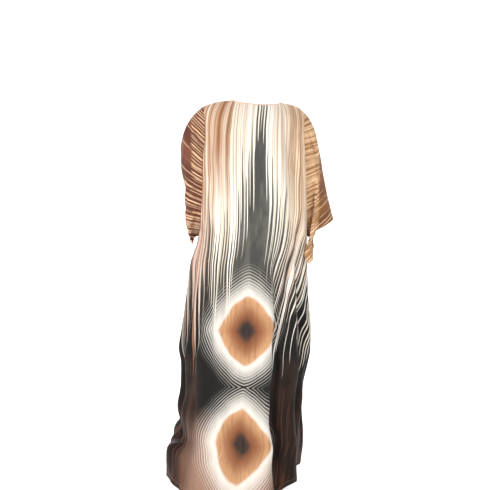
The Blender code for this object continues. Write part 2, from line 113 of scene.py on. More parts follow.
# The shoulder line, and how the neckline dips back, front and down from it
Shoulder = namedtuple("Shoulder", "column x z dip_back dip_front drop_front", defaults=[0.0] * 3)
SHOULDER_LINE = listed(
    Shoulder,
    # column       x       z dip_back dip_front drop_front
    (-1.000, -0.186, -0.024),
    (-0.800, -0.146, -0.010),
    (-0.545, -0.090, -0.003),
    (-0.455, -0.080, -0.007, 0.022, 0.030, 0.020),
    (-0.364, -0.064, -0.010, 0.038, 0.056, 0.042),
    (-0.182, -0.032, -0.014, 0.053, 0.082, 0.066),
    ( 0.000,  0.001, -0.017, 0.057, 0.088, 0.070),
    ( 0.182,  0.034, -0.018, 0.053, 0.082, 0.066),
    ( 0.364,  0.066, -0.018, 0.038, 0.056, 0.042),
    ( 0.455,  0.082, -0.016, 0.022, 0.030, 0.020),
    ( 0.545,  0.092, -0.013),
    ( 0.800,  0.138, -0.024),
    ( 1.000,  0.168, -0.046),
)

# Half the armhole's width at each share of the way up from the underarm
Armhole = namedtuple("Armhole", "share half_width")
ARMHOLE = listed(
    Armhole,
    # share half_width
    (0.00, 0.000),
    (0.08, 0.022),
    (0.30, 0.040),
    (0.65, 0.050),
    (0.85, 0.046),
    (1.00, 0.000),
)

# A fold runs from column high at top_z to column low at the hem, and grows from top_depth to
# depth. A trough is negative, and skew above 1 makes the right side the steep one.
Fold = namedtuple("Fold", "low high top_z depth top_depth width skew", defaults=[1.0])
BACK_FOLDS = listed(
    Fold,
    #   low   high   top_z   depth top_depth width skew
    ( 0.34,  0.34,  -0.50, -0.046, -0.010, 0.13, 0.40),
    ( 0.22,  0.22,  -0.55,  0.014,  0.004, 0.10,  1.6),
    (-0.20, -0.46,  -0.50, -0.010, -0.016, 0.12,  1.4),
    ( 0.72,  0.66,  -0.30, -0.026, -0.006, 0.12,  0.8),
    ( 0.88,  0.84,  -0.10,  0.014, -0.003, 0.08),
    (-0.90, -0.82,  -0.20,  0.014,  0.004, 0.08),
    (-0.76, -0.66,  -0.10, -0.018,  0.005, 0.09),
    (-0.70, -0.72, -1.215,  0.030,  0.048, 0.20),
    ( 0.56,  0.58,  -1.16,  0.020,  0.001, 0.11),
    (-0.50, -0.44,  -0.62,  0.012,  0.001, 0.12),
    ( 0.02, -0.04,  -0.66, -0.010, -0.001, 0.13),
    ( 0.46,  0.66,  -0.06,  0.004, -0.007, 0.09),
    (-0.30, -0.30,  -0.06, -0.002, -0.004, 0.10),
)
FRONT_FOLDS = listed(
    Fold,
    (-0.86, -0.76, -0.20,  0.020,  0.003, 0.11),
    (-0.60, -0.50, -0.30, -0.022, -0.003, 0.13, 0.8),
    (-0.28, -0.25, -0.24,  0.022,  0.003, 0.15),
    ( 0.03,  0.00, -0.34, -0.022, -0.003, 0.13, 1.2),
    ( 0.32,  0.27, -0.28,  0.020,  0.003, 0.14),
    ( 0.60,  0.53, -0.30, -0.020, -0.003, 0.12, 0.8),
    ( 0.89,  0.90, -0.52, -0.016, -0.008, 0.10),
)

# A crease runs from column u_top at z_top to column u_low at z_low. width is in metres across
# the cloth, and bend shifts its middle sideways.
Crease = namedtuple("Crease", "u_top z_top u_low z_low depth width bend skew", defaults=[0, 1])
BACK_CREASES = listed(
    Crease,
    # u_top  z_top  u_low  z_low    depth  width   bend skew
    # the lapped pleat right of the middle: a crisp lip, with cloth tucked behind it
    ( 0.26, -0.56, 0.265, -1.42,   0.009, 0.016,  0.00, 2.4),
    ( 0.29, -0.58, 0.300, -1.42,  -0.010, 0.016,  0.00, 0.8),
    ( 0.38, -0.70, 0.420, -1.42,  0.0105, 0.020,  0.01),
    # soft pleats left of the middle
    (-0.30, -0.52, -0.25, -0.92, -0.0125, 0.016,  0.01, 0.7),
    (-0.36, -0.58, -0.33, -1.05,  0.0085, 0.020,  0.00, 1.2),
    (-0.17, -0.78, -0.14, -1.30, -0.0085, 0.022,  0.01),
    ( 0.08, -0.86,  0.10, -1.36,  0.0065, 0.020, -0.01),
    # from the shoulders down
    (-0.42, -0.03, -0.38, -0.34,  0.0065, 0.012,  0.02),
    (-0.52, -0.03, -0.44, -0.27, -0.0065, 0.011,  0.01),
    (-0.62, -0.05, -0.60, -0.42, -0.0085, 0.014,  0.02, 1.2),
    (-0.74, -0.10, -0.70, -0.48,  0.0085, 0.014,  0.01),
    (-0.84, -0.14, -0.80, -0.60, -0.0085, 0.012,  0.01),
    ( 0.56, -0.04,  0.62, -0.30, -0.0085, 0.012,  0.02),
    ( 0.66, -0.05,  0.72, -0.40, -0.0085, 0.013,  0.02, 0.8),
    ( 0.78, -0.10,  0.80, -0.52,  0.0065, 0.012),
    ( 0.44, -0.10,  0.50, -0.44,  0.0065, 0.014,  0.01),
    # folds of the skirt
    (-0.58, -0.46, -0.56, -1.10, -0.0125, 0.018,  0.02, 1.2),
    (-0.66, -0.60, -0.62, -1.36,  0.0125, 0.018, -0.02),
    (-0.84, -0.70, -0.84, -1.36, -0.0125, 0.016,  0.01),
    (-0.50, -0.98, -0.46, -1.42, -0.0105, 0.018,  0.00, 0.8),
    ( 0.52, -0.42,  0.50, -0.96, -0.0125, 0.016,  0.01, 0.8),
    ( 0.58, -0.56,  0.60, -1.30,  0.0125, 0.016, -0.01, 1.4),
    ( 0.64, -0.50,  0.68, -1.14, -0.0145, 0.014,  0.01, 0.8),
    ( 0.78, -0.62,  0.78, -1.40,  0.0125, 0.016,  0.01),
    ( 0.86, -0.74,  0.84, -1.40, -0.0125, 0.014),
)
FRONT_CREASES = listed(
    Crease,
    (-0.40, -0.03, -0.30, -0.40,  0.0085, 0.014,  0.03),
    (-0.52, -0.03, -0.42, -0.34, -0.0085, 0.013,  0.02),
    (-0.64, -0.06, -0.60, -0.46,  0.0085, 0.015,  0.01),
    (-0.78, -0.12, -0.74, -0.56, -0.0105, 0.013,  0.01),
    ( 0.42, -0.03,  0.34, -0.36,  0.0085, 0.014, -0.03),
    ( 0.54, -0.04,  0.44, -0.40, -0.0085, 0.013, -0.02),
    ( 0.66, -0.07,  0.62, -0.44,  0.0085, 0.014),
    ( 0.80, -0.12,  0.78, -0.58, -0.0085, 0.012,  0.01),
    (-0.10, -0.22, -0.14, -0.78,  0.0085, 0.018,  0.01),
    ( 0.12, -0.26,  0.16, -0.84, -0.0085, 0.018,  0.01),
    (-0.44, -0.42, -0.42, -1.10, -0.0125, 0.018,  0.01, 1.2),
    (-0.20, -0.60, -0.20, -1.36, -0.0125, 0.018,  0.01, 0.8),
    (-0.34, -0.66, -0.34, -1.42,  0.0145, 0.016,  0.00, 1.6),
    ( 0.06, -0.70,  0.08, -1.42, -0.0125, 0.018, -0.01),
    ( 0.22, -0.52,  0.22, -1.20,  0.0105, 0.016,  0.01),
    ( 0.44, -0.50,  0.42, -1.42, -0.0145, 0.018,  0.01, 0.8),
    ( 0.56, -0.64,  0.54, -1.34,  0.0125, 0.016),
    ( 0.72, -0.44,  0.70, -1.12, -0.0125, 0.016,  0.01),
    (-0.70, -0.52, -0.72, -1.42,  0.0125, 0.018,  0.01),
    (-0.88, -0.60, -0.90, -1.36, -0.0105, 0.014),
    ( 0.88, -0.62,  0.90, -1.36, -0.0105, 0.014),
)

# Loops of a sleeve from the armhole to the cuff: top and low points, depth to the back and the
# front, heading in degrees, narrowing, tuck of the back, sag and inward hook
SLEEVE_FIELDS = "top_x top_y top_z low_x low_y low_z back front heading narrow tuck sag hook"
SleeveSection = namedtuple("SleeveSection", SLEEVE_FIELDS, defaults=[0.0] * 3)
LEFT_SLEEVE = listed(
    SleeveSection,
    (-0.222, 0.006, -0.056, -0.224, -0.002, -0.492, 0.056, 0.054,  4, 0.45),
    (-0.252, 0.024, -0.104, -0.228, -0.010, -0.500, 0.050, 0.048, 14, 0.36, 0.000, 0.01),
    (-0.258, 0.072, -0.160, -0.230, -0.022, -0.501, 0.044, 0.048, 34, 0.26, 0.000, 0.02),
    (-0.248, 0.140, -0.206, -0.231, -0.034, -0.504, 0.040, 0.050, 50, 0.20, 0.000, 0.03),
    (-0.232, 0.212, -0.240, -0.228, -0.046, -0.507, 0.038, 0.052, 60, 0.16, 0.000, 0.04),
)
RIGHT_SLEEVE = listed(
    SleeveSection,
    (0.203, 0.004, -0.100, 0.200, -0.006, -0.500, 0.054, 0.056, 4, 0.52),
    (0.222, 0.012, -0.180, 0.201, -0.022, -0.524, 0.058, 0.062, 5, 0.55, 0.010),
    (0.238, 0.024, -0.260, 0.203, -0.036, -0.543, 0.058, 0.070, 6, 0.52, 0.026),
    (0.256, 0.038, -0.342, 0.202, -0.056, -0.558, 0.052, 0.078, 6, 0.46, 0.023,   0.00, 0.008),
    (0.281, 0.052, -0.432, 0.184, -0.078, -0.572, 0.048, 0.086, 6, 0.40, 0.022, -0.016, 0.026),
)

# A place round a sleeve is 0 low, 1 at the top and 2 low again, and widths are in its units.
# start and end are shares of the sleeve's length.
SleeveFold = namedtuple("SleeveFold", "position start end depth end_depth width")
LEFT_SLEEVE_FOLDS = listed(
    SleeveFold,
    # position start end depth end_depth width
    (0.58, 0.05, 1.00, -0.009, -0.020, 0.13),
    (0.36, 0.20, 1.00,  0.002,  0.008, 0.10),
    (1.55, 0.20, 1.00, -0.003, -0.010, 0.14),
)
RIGHT_SLEEVE_FOLDS = listed(
    SleeveFold,
    (0.58, 0.10, 1.00, -0.004, -0.010, 0.12),
    (0.30, 0.20, 1.00,  0.003,  0.009, 0.12),
    (1.50, 0.20, 1.00, -0.004, -0.014, 0.16),
)

# A sleeve's crease runs from place `at` at the start to place `to` at the end
SleeveCrease = namedtuple("SleeveCrease", "at start to end depth width")
LEFT_SLEEVE_CREASES = listed(
    SleeveCrease,
    #   at start    to   end    depth  width
    (0.80, 0.02, 0.66, 0.60,  -0.006, 0.030),
    (0.92, 0.05, 0.80, 0.80,  0.0045, 0.030),
    (0.50, 0.10, 0.42, 0.90,  -0.006, 0.028),
    (0.30, 0.05, 0.22, 1.05,   0.006, 0.030),
    (0.18, 0.20, 0.12, 1.05, -0.0045, 0.025),
    (1.30, 0.05, 1.42, 0.85,  -0.006, 0.030),
    (1.60, 0.10, 1.70, 1.05,   0.006, 0.030),
    (1.12, 0.20, 1.20, 1.05, -0.0045, 0.028),
)
RIGHT_SLEEVE_CREASES = listed(
    SleeveCrease,
    (0.78, 0.03, 0.60, 0.70,  -0.006, 0.030),
    (0.62, 0.10, 0.44, 1.05,   0.006, 0.030),
    (0.44, 0.08, 0.28, 0.95,  -0.006, 0.030),
    (0.20, 0.20, 0.14, 1.05,  0.0045, 0.026),
    (1.25, 0.05, 1.36, 0.90,  -0.006, 0.030),
    (1.55, 0.10, 1.66, 1.05,   0.006, 0.030),
    (1.80, 0.30, 1.84, 1.05, -0.0045, 0.026),
)


# ---- curves
def hermite(a, b, slope_a, slope_b, s):
    """A cubic from a to b that leaves and arrives along the slopes."""
    return (
        a * (1 + 2 * s) * (1 - s) ** 2
        + slope_a * s * (1 - s) ** 2
        + b * s * s * (3 - 2 * s)
        + slope_b * s * s * (s - 1)
    )


def smooth(at, known, values):
    """Smooth curves through values at known, read at each place in `at`. They never overshoot."""
    if known[0] > known[-1]:
        known = known[::-1]
        values = values[::-1]
    lone = (1,) * (values.ndim - 1)
    steps = np.diff(known)
    slopes = np.diff(values, axis=0) / steps.reshape((-1,) + lone)
    product = slopes[:-1] * slopes[1:]
    total = np.where(product > 0, slopes[:-1] + slopes[1:], 1.0)
    middle = np.where(product > 0, 2 * product / total, 0.0)
    tangents = np.concatenate([slopes[:1], middle, slopes[-1:]])
    at = np.clip(at, known[0], known[-1])
    i = np.clip(np.searchsorted(known, at) - 1, 0, len(known) - 2)
    step = steps[i].reshape(at.shape[:1] + lone)
    s = ((at - known[i]) / steps[i]).reshape(step.shape)
    return hermite(values[i], values[i + 1], tangents[i] * step, tangents[i + 1] * step, s)


def ease(s):
    """0 to 1 with a flat start and end."""
    s = np.clip(s, 0.0, 1.0)
    return s * s * (3 - 2 * s)


def units(vectors):
    lengths = np.linalg.norm(vectors, axis=-1, keepdims=True)
    return vectors / np.maximum(lengths, 1e-12)


def steps_between(points, axis=0):
    """Distances between neighbouring points along an axis."""
    return np.linalg.norm(np.diff(points, axis=axis), axis=-1)


def running(steps):
    """The distance so far at each place, from the steps between the places."""
    return np.concatenate([np.zeros_like(steps[:1]), np.cumsum(steps, axis=0)])


def closed(grid):
    """A grid that runs round something, with its first column again at the end."""
    return np.concatenate([grid, grid[:, :1]], axis=1)


def across(grid):
    """Distance along each row of a panel from its middle column, in metres."""
    runs = running(steps_between(grid, 1).T).T
    return runs - runs[:, grid.shape[1] // 2][:, None]


def above_hem(grid):
    """Distance up each column from the hem or the cuff."""
    return running(steps_between(grid)[::-1])[::-1]


def leaning(gap, skew):
    """A gap made steeper on its right side, and gentler on its left."""
    return np.where(gap > 0, gap * skew, gap / skew)


def read(table, names, at, key):
    """The named columns of a table, smoothly read at each place along its key column."""
    known, *columns = (np.array([getattr(row, name) for row in table]) for name in (key, *names))
    return [smooth(at, known, column) for column in columns]


# ---- the panels
def rings(zs, us, facing):
    """The body's rings at heights zs, evenly spaced along the ring at columns us."""
    left, right, back, front, square = read(BODY_SECTIONS, Section._fields[1:], zs, "z")
    mid_x = (left + right) / 2
    half_x = (right - left) / 2
    mid_y = (back + front) / 2 * 0.25
    half_y = np.abs((back if facing < 0 else front) - mid_y)
    power = 2 / square
    cuts = []
    for tip in (SHOULDER_LINE[0].z, SHOULDER_LINE[-1].z):
        share = (zs - UNDERARM_Z) / (tip - UNDERARM_Z)
        width = read(ARMHOLE, ["half_width"], share, "share")[0]
        cuts.append(np.arcsin(np.minimum(width / half_y, 0.95) ** (1 / power)))
    start = math.pi - cuts[0]
    fine = np.linspace(0, 1, 801)
    angle = start[:, None] + (cuts[1] - start)[:, None] * fine
    c = np.cos(angle)
    s = np.maximum(np.sin(angle), 0.0)
    p = power[:, None]
    x = mid_x[:, None] + half_x[:, None] * np.sign(c) * np.abs(c) ** p
    y = mid_y[:, None] + facing * half_y[:, None] * s ** p
    grid = np.zeros((len(zs), len(us), 3))
    for r in range(len(zs)):
        runs = running(np.hypot(np.diff(x[r]), np.diff(y[r])))
        share = runs / runs[-1] * 2 - 1
        grid[r, :, 0] = np.interp(us, share, x[r])
        grid[r, :, 1] = np.interp(us, share, y[r])
        grid[r, :, 2] = zs[r]
    return grid


def yoke(us, facing):
    """The rows from the shoulder line to the ring at the yoke's height."""
    x, z, dip_back, dip_front, drop = read(SHOULDER_LINE, Shoulder._fields[1:], us, "column")
    y = -dip_back if facing < 0 else dip_front
    if facing > 0:
        z = z - drop
    top = np.stack([x, y, z], axis=1)
    low = rings(np.array([YOKE_Z]), us, facing)[0]
    fall = top[:, 2] - low[:, 2]
    reach = np.abs(low[:, 1] - top[:, 1])
    start = np.stack([(low[:, 0] - top[:, 0]) * 0.4, facing * reach * 1.5, -fall * 0.35], axis=1)
    end = np.stack([np.zeros_like(x), facing * reach * 0.10, -fall * 1.35], axis=1)
    s = (np.arange(YOKE_ROWS) / YOKE_ROWS)[:, None, None]
    return hermite(top, low, start, end, s)


def lapped(run, us, zs):
    """The pleat right of the middle hides a strip of cloth, so the print jumps across it."""
    below = ease((PLEAT_TOP - zs) / PLEAT_RUN)[:, None]
    return run + PLEAT_LAP * below * ease((us - PLEAT_U) / PLEAT_LIP)[None, :]


def outward_normals(grid, wrap, facing):
    """Area-weighted normals of a grid of points, turned to the outside of the cloth."""
    g = closed(grid) if wrap else grid
    area = np.cross(g[1:, 1:] - g[:-1, :-1], g[1:, :-1] - g[:-1, 1:])
    sums = np.zeros_like(grid)
    if wrap:
        shares = [(slice(None), area), (slice(None), np.roll(area, 1, axis=1))]
    else:
        shares = [(slice(-1), area), (slice(1, None), area)]
    for columns, face in shares:
        sums[:-1, columns] += face
        sums[1:, columns] += face
    normals = units(sums)
    if wrap:
        outward = np.sum(normals * (grid - grid.mean(axis=1, keepdims=True)))
    else:
        outward = np.mean(normals[:, :, 1]) * facing
    return -normals if outward < 0 else normals


def lifted(grid, lift, wrap, facing):
    """The grid, raised along its normals."""
    return grid + outward_normals(grid, wrap, facing) * lift[:, :, None]


def add_folds(grid, us, zs, folds, facing):
    """The large folds, as the solids have them."""
    normals = outward_normals(grid, False, facing)
    side = ease((1 - np.abs(us)) / 0.10)
    for fold in folds:
        run = (fold.top_z - zs) / (fold.top_z - HEM_Z)
        centre = fold.high + (fold.low - fold.high) * run
        depth = ease(run / 0.25) * (fold.top_depth + (fold.depth - fold.top_depth) * run)
        gap = leaning((us[None, :] - centre[:, None]) / fold.width, fold.skew)
        lift = depth[:, None] * np.exp(-gap * gap * 2) * side
        grid = grid + normals * lift[:, :, None]
    return grid


def add_creases(grid, us, zs, creases, facing):
    """Listed creases, each wandering a little and fading unevenly at its ends."""
    run = across(grid)
    width = np.abs(run[:, -1] - run[:, 0]) / 2
    side = ease((1 - np.abs(us)) / 0.06)
    lift = np.zeros(grid.shape[:2])
    for k, crease in enumerate(creases):
        run = (crease.z_top - zs) / (crease.z_top - crease.z_low)
        fade = ease(run / 0.30) * ease((1 - run) / 0.38)
        fade = fade * (1 + 0.30 * np.sin(zs * 23 + k * 1.7))
        wander = 0.006 * np.sin(zs * 11 + k * 2.3) + 0.003 * np.sin(zs * 29 + k)
        centre = crease.u_top + (crease.u_low - crease.u_top) * run
        centre = centre + crease.bend * np.sin(math.pi * np.clip(run, 0, 1))
        gap = (us[None, :] - centre[:, None]) * width[:, None] + wander[:, None]
        gap = gap / (crease.width * (0.75 + 0.5 * np.clip(run, 0, 1)))[:, None]
        gap = leaning(gap, crease.skew)
        lift += crease.depth * fade[:, None] * np.exp(-gap * gap)
    return lifted(grid, lift * side, False, facing)


def add_ripple(grid, wrap, facing, ripple, seed, guard):
    """Slight unevenness all over, long in the direction that the cloth hangs."""
    lift = np.zeros(grid.shape[:2])
    length = ripple.size * ripple.stretch
    for index in np.ndindex(lift.shape):
        x, y, z = grid[index]
        place = Vector((x / ripple.size, y / ripple.size, z / length + seed))
        lift[index] = noise.noise(place) + 0.45 * noise.noise(place * 2.3)
    return lifted(grid, lift * ripple.depth * guard, wrap, facing)


def panel_grid(facing, folds, creases):
    """A panel's grid from the shoulders to the hem, and each point's place across the print."""
    us = np.linspace(-1, 1, COLUMNS + 1)
    top = yoke(us, facing)
    levels = np.concatenate([
        np.linspace(YOKE_Z, UNDERARM_Z, CHEST_ROWS + 1),
        np.linspace(UNDERARM_Z, FLARE_Z, SKIRT_ROWS + 1)[1:],
        np.linspace(FLARE_Z, HEM_Z, HEM_ROWS + 1)[1:],
    ])
    grid = np.concatenate([top, rings(levels, us, facing)])
    zs = np.concatenate([top[:, :, 2].mean(axis=1), levels])
    run = across(grid)
    grid = add_folds(grid, us, zs, folds, facing)
    grid = add_creases(grid, us, zs, creases, facing)
    guard = ease((1 - np.abs(us)) / 0.05)[None, :] * ease((-zs - 0.01) / 0.05)[:, None]
    grid = add_ripple(grid, False, facing, PANEL_RIPPLE, 3.1 * facing, guard)
    grid[-1, :, 2] += HEM_WAVE * np.sin(us * 17 + facing)
    return grid, lapped(run, us, zs) if facing < 0 else run


# ---- the sleeves
def sleeve_loop(section, side, count):
    """A sleeve section, from low up the back to the top and down the front."""
    top = np.array([section.top_x, section.top_y, section.top_z])
    low = np.array([section.low_x, section.low_y, section.low_z])
    turn = math.radians(section.heading)
    back_way = np.array([side * math.sin(turn), -math.cos(turn), 0.0])
    angle = 2 * math.pi * np.arange(count) / count
    along = (1 - np.cos(angle)) / 2
    over = np.sin(angle)
    weight = section.narrow + (1 - section.narrow) * ease(along * 1.25)
    width = np.where(over > 0, section.back, section.front)
    loop = low + (top - low) * along[:, None] + back_way * (width * over * weight)[:, None]
    loop[:, 2] -= section.sag * np.sin(math.pi * along)
    tuck = side * section.tuck * np.sin(math.pi * along ** 0.7)
    loop[:, 0] -= side * section.hook * np.sin(math.pi * along)
    loop[:, 0] -= np.where(over > 0, tuck, 0.0)
    return loop


def sleeve_grid(armhole, sections, folds, creases, side):
    """Rows from the armhole to the cuff. The columns run round the sleeve."""
    count = len(armhole)
    loops = np.array([armhole] + [sleeve_loop(section, side, count) for section in sections])
    runs = running(steps_between(loops.mean(axis=1)))
    shares = np.arange(SLEEVE_ROWS + 1) / SLEEVE_ROWS
    grid = smooth(shares, runs / runs[-1], loops)
    position = 2 * np.arange(count) / count
    lift = np.zeros(grid.shape[:2])
    for fold in folds:
        run = (shares - fold.start) / (fold.end - fold.start)
        depth = ease(run / 0.3) * (fold.depth + (fold.end_depth - fold.depth) * run)
        gap = (position[None, :] - fold.position) / fold.width
        lift += depth[:, None] * np.exp(-gap * gap * 2)
    grid = lifted(grid, lift, True, side)
    lift = np.zeros(grid.shape[:2])
    for crease in creases:
        run = (shares - crease.start) / (crease.end - crease.start)
        fade = ease(run / 0.25) * ease((1 - run) / 0.30)
        centre = crease.at + (crease.to - crease.at) * run
        gap = np.abs(position[None, :] - centre[:, None])
        gap = np.minimum(gap, 2 - gap) / crease.width
        lift += crease.depth * fade[:, None] * np.exp(-gap * gap)
    grid = lifted(grid, lift, True, side)
    return add_ripple(grid, True, side, SLEEVE_RIPPLE, 9.0 * side, ease(shares / 0.12)[:, None])


def armhole_loop(back, front, side):
    """The edge of the armhole: from the underarm up the back panel, down the front panel."""
    c = 0 if side < 0 else -1
    return np.concatenate([back[UNDERARM_ROW:0:-1, c], back[:1, c], front[1:UNDERARM_ROW, c]])


def sleeve_field(grid, side):
    """How far down the sleeve each point is, for its lines: they slope towards the body."""
    x, y, z = np.moveaxis(grid, 2, 0)
    if side < 0:
        slope = 0.90 - 0.72 * ease((-z - 0.10) / 0.36)
        down = -z - (x + 0.20) * slope
    else:
        slope = 0.27 + 0.51 * ease((-z - 0.12) / 0.40)
        down = -z + (x - 0.19) * slope
    return down + 0.75 * np.logaddexp(0, (y - 0.045) / 0.02) * 0.02


def sleeve_plain(grid, side):
    """1 on the outside of the sleeve, where its cloth is plainer, and 0 inside."""
    x, _, z = np.moveaxis(grid, 2, 0)
    if side < 0:
        return ease((-0.222 - x) / 0.012) * ease((z + 0.290) / 0.03)
    return ease((x - 0.212) / 0.014)


# ---- joining and shells
def share_normals(pieces):
    """Give each place one normal, so that the shells of neighbours meet at the seams."""
    places = {}
    for grid, normals, edges in pieces:
        for index in edges:
            key = tuple(np.round(grid[index] * 20000).astype(int))
            places.setdefault(key, []).append((normals, index))
    for members in places.values():
        total = units(sum(normals[index] for normals, index in members))
        for normals, index in members:
            normals[index] = total


def panel_edges(grid):
    """The places on a panel's top edge and its two sides."""
    rows, columns = grid.shape[:2]
    edges = [(0, c) for c in range(columns)]
    return edges + [(r, c) for r in range(1, rows) for c in (0, columns - 1)]


def quads_of(index):
    """Faces between the rows and columns of a grid of point numbers."""
    quads = np.stack([index[:-1, :-1], index[:-1, 1:], index[1:, 1:], index[1:, :-1]], axis=-1)
    return quads.reshape(-1, 4)


def shell(grid, normals, wrap):
    """Points and faces of a closed thin shell on a grid."""
    half = normals * CLOTH / 2
    points = np.concatenate([(grid + half).reshape(-1, 3), (grid - half).reshape(-1, 3)])
    inner = normals[:, :, 0].size
    index = np.arange(inner).reshape(grid.shape[:2])
    index = closed(index) if wrap else index
    quads = quads_of(index)
    # which way round the outer faces go
    a, b, c = points[quads[0][:3]]
    if np.dot(np.cross(b - a, c - a), normals[0, 0]) < 0:
        quads = quads[:, ::-1]

    def rim(edge):
        a, b = edge[:-1], edge[1:]
        return np.stack([a, b, b + inner, a + inner], axis=-1)

    faces = [quads, quads[:, ::-1] + inner, rim(index[0]), rim(index[-1])]
    if not wrap:
        faces += [rim(index[:, 0]), rim(index[:, -1])]
    return points, np.concatenate(faces)


def add_object(name, points, faces, material, collection):
    """A smooth mesh object in the scene."""
    mesh = bpy.data.meshes.new(name)
    mesh.from_pydata(points, [], faces)
    mesh.polygons.foreach_set("use_smooth", [True] * len(mesh.polygons))
    mesh.materials.append(material)
    item = bpy.data.objects.new(name, mesh)
    collection.objects.link(item)
    return item


def add_piece(name, points, faces, layers, material, collection):
    """A piece of cloth in the scene, with a UV map or an attribute for each layer."""
    item = add_object(f"cloth_{name}", points.tolist(), faces.tolist(), material, collection)
    mesh = item.data
    corners = np.array([loop.vertex_index for loop in mesh.loops])
    for layer, values in layers.items():
        if values.ndim == 2:
            mesh.uv_layers.new(name=layer).data.foreach_set("uv", values[corners].ravel())
        else:
            attribute = mesh.attributes.new(layer, "FLOAT", "POINT")
            attribute.data.foreach_set("value", values)
    mesh.update()
    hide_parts(name)
    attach(item, "root")
    return item


def add_shell(name, grid, normals, wrap, layers, material, slot, collection):
    """A piece of cloth on a grid. Both faces of the shell carry the same layers."""
    points, faces = shell(grid, normals, wrap)
    both = {
        layer: np.concatenate([values, values]).reshape(len(points), *values.shape[2:])
        for layer, values in layers.items()
    }
    return add_piece(name, points, faces, both, material, collection)


# ---- node trees
def operator(operation, swapped=False):
    """A Python operator of two values, as a Math node."""
    def apply(self, other=0.0):
        pair = (other, self) if swapped else (self, other)
        return self.nodes.math(operation, *pair)
    return apply


class Value:
    """A socket of a node tree, with the arithmetic that the prints are written in."""

    __add__, __radd__ = operator("ADD"), operator("ADD", True)
    __sub__, __rsub__ = operator("SUBTRACT"), operator("SUBTRACT", True)
    __mul__, __pow__, __abs__ = operator("MULTIPLY"), operator("POWER"), operator("ABSOLUTE")

    def __init__(self, nodes, socket):
        self.nodes = nodes
        self.socket = socket

    def clamped(self):
        """This sum or product, kept between 0 and 1."""
        self.socket.node.use_clamp = True
        return self


class Nodes:
    """Builds a material from short calls. They take values, numbers and colours."""

    def __init__(self, name):
        self.material = bpy.data.materials.new(name)
        self.material.use_nodes = True
        self.tree = self.material.node_tree
        self.shader = self.tree.nodes["Principled BSDF"].inputs

    def new(self, kind, inputs=(), output=0, **settings):
        """A new node with its settings and inputs, as the value of one of its outputs."""
        node = self.tree.nodes.new("ShaderNode" + kind)
        for name, setting in settings.items():
            setattr(node, name, setting)
        for key, value in dict(inputs).items():
            self.join(value, node.inputs[key])
        return Value(self, node.outputs[output])

    def join(self, value, socket):
        if isinstance(value, Value):
            self.tree.links.new(value.socket, socket)
        elif isinstance(value, tuple) and socket.type == "RGBA":
            socket.default_value = (*value, 1.0)
        else:
            socket.default_value = value

    def math(self, operation, a, b=0.0):
        return self.new("Math", {0: a, 1: b}, operation=operation)

    def between(self, value, low, high, kind="SMOOTHSTEP"):
        """0 at low, 1 at high."""
        inputs = {"Value": value, "From Min": low, "From Max": high}
        return self.new("MapRange", inputs, "Result", interpolation_type=kind, clamp=True)

    def bell(self, value, centre, width):
        """1 at centre, fading to 0 at width from it."""
        return 1 - self.between(abs(value - centre), 0.0, width)

    def mix(self, factor, a, b):
        """Colour a at factor 0, colour b at 1."""
        return self.new("Mix", {"Factor": factor, 6: a, 7: b}, 2, data_type="RGBA")

    def point(self, x, y, z=0.0):
        return self.new("CombineXYZ", {0: x, 1: y, 2: z})

    def noise(self, vector, scale, detail=2.0, roughness=0.5):
        inputs = {"Vector": vector, "Scale": scale, "Detail": detail, "Roughness": roughness}
        return self.new("TexNoise", inputs, "Fac")

    def split(self, kind, value):
        """The three parts of a colour or a place."""
        parts = self.new(kind, {0: value}).socket.node.outputs
        return [Value(self, part) for part in parts]

    def strands(self, w, randomness=1.0):
        """Irregular cells along one direction: distance from the middle, and three randoms."""
        inputs = {"W": w, "Scale": 1.0, "Randomness": randomness}
        distance = self.new("TexVoronoi", inputs, "Distance", voronoi_dimensions="1D")
        colour = Value(self, distance.socket.node.outputs["Color"])
        return distance, *self.split("SeparateColor", colour)

    def curve(self, value, points):
        """A free curve through named places, each (at, value)."""
        low, high = points[0][0], points[-1][0]
        result = self.new("FloatCurve", {"Value": self.between(value, low, high, "LINEAR")})
        mapping = result.socket.node.mapping
        line = mapping.curves[0]
        for k, (at, height) in enumerate(points):
            place = (at - low) / (high - low)
            if k < 2:
                spot = line.points[k]
                spot.location = (place, height)
            else:
                spot = line.points.new(place, height)
            spot.handle_type = "AUTO_CLAMPED"
        mapping.update()
        return result

    def uv(self):
        """Across and down the print, in metres."""
        return self.split("SeparateXYZ", self.new("UVMap", uv_map="cloth"))[:2]

    def attribute(self, name):
        return self.new("Attribute", output="Fac", attribute_name=name)


# ---- the print
# Linear colours: strands from the middle out, then the ground, the lozenges and the sleeves
WHITE = (0.96, 0.945, 0.9)
CREAM = (0.92, 0.83, 0.68)
PEACH = (0.68, 0.44, 0.28)
TAN = (0.48, 0.255, 0.135)
ROSE = (0.47, 0.31, 0.28)
GOLD = (0.96, 0.78, 0.54)
MAUVE = (0.7, 0.52, 0.45)
# brown of the print stripes, also painting the shade of the soft shoulder folds
STRIPE_AND_FOLD_SHADE = (0.3, 0.118, 0.046)
MIDDLE_LINE = (0.3, 0.225, 0.16)
SIDE_LINE = (0.25, 0.105, 0.045)
CHARCOAL = (0.068, 0.066, 0.06)
# painted highlight: lighter grey laid over the charcoal
HIGHLIGHT_GREY = (0.135, 0.13, 0.112)
DARK = (0.01, 0.0095, 0.009)
UMBER = (0.012, 0.0062, 0.0045)
RUST = (0.1, 0.03, 0.013)
HAZE = (0.42, 0.235, 0.165)
GLOW = (0.9, 0.86, 0.79)
DIM = (0.11, 0.042, 0.022)
HEART = (0.032, 0.024, 0.022)
INNER_BROWN = (0.27, 0.1, 0.045)
OUTER_TAN = (0.6, 0.33, 0.17)
RAY_BROWN = (0.17, 0.065, 0.032)
SLEEVE_DARK = (0.085, 0.026, 0.012)
SLEEVE_LINE = (0.84, 0.58, 0.36)
BINDING_PALE = (0.76, 0.6, 0.47)
BINDING_DEEP = (0.64, 0.48, 0.36)
SLUB_SHADE = (0.02, 0.015, 0.012)
